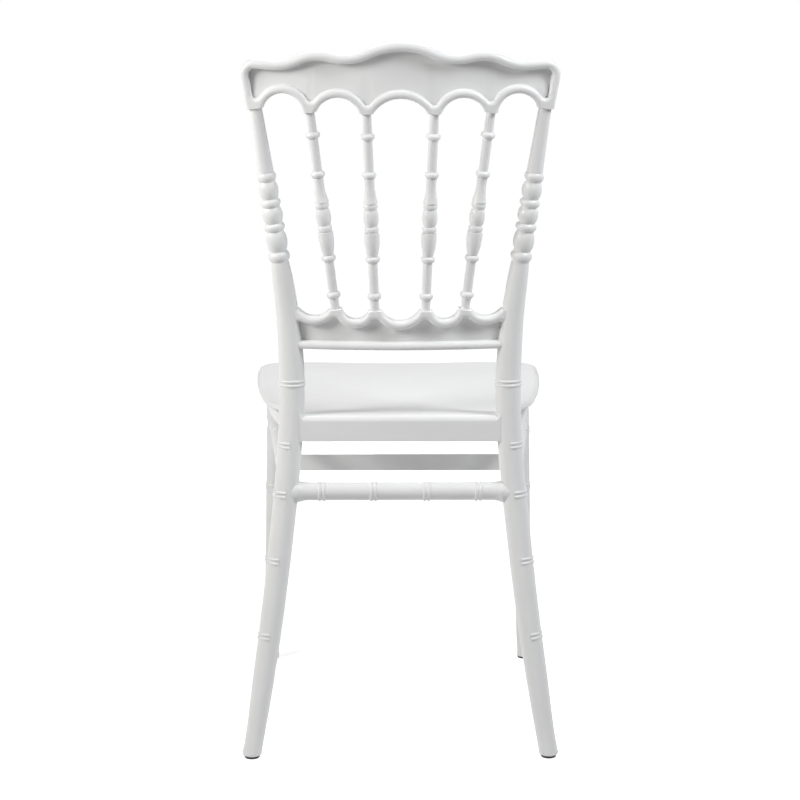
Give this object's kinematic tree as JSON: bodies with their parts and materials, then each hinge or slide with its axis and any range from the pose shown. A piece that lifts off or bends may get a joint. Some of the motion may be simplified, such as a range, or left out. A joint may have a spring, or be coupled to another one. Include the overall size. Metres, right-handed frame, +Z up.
{
  "type": "dining chair",
  "caption": "Moulded white dining chair with a bowed back of turned posts and spindles between scalloped rails, a shallow dished seat, and ribbed legs and stretchers.",
  "frame": {"origin": "on the floor, under the middle of the bounding box", "axes": "+X to the sitter's left, -Y to the front, +Z up"},
  "size_m": [0.3994, 0.4718, 0.8918],
  "materials": {
    "white_resin": "satin moulded white",
    "foot_rubber": "matt black",
    "screw_steel": "plain zinc"
  },
  "bodies": {
    "root": {"left_rear_post": "white_resin", "right_rear_post": "white_resin", "crest_rail": "white_resin", "lower_back_rail": "white_resin", "spindle_far_left": "white_resin", "spindle_far_right": "white_resin", "spindle_mid_left": "white_resin", "spindle_mid_right": "white_resin", "seat_pan": "white_resin", "left_front_leg": "white_resin", "right_front_leg": "white_resin", "rear_stretcher": "white_resin", "front_stretcher": "white_resin", "left_stretcher": "white_resin", "right_stretcher": "white_resin", "left_rear_glide": "foot_rubber", "right_rear_glide": "foot_rubber", "left_front_glide": "foot_rubber", "right_front_glide": "foot_rubber", "seat_screws": "screw_steel"}
  },
  "joints": []
}
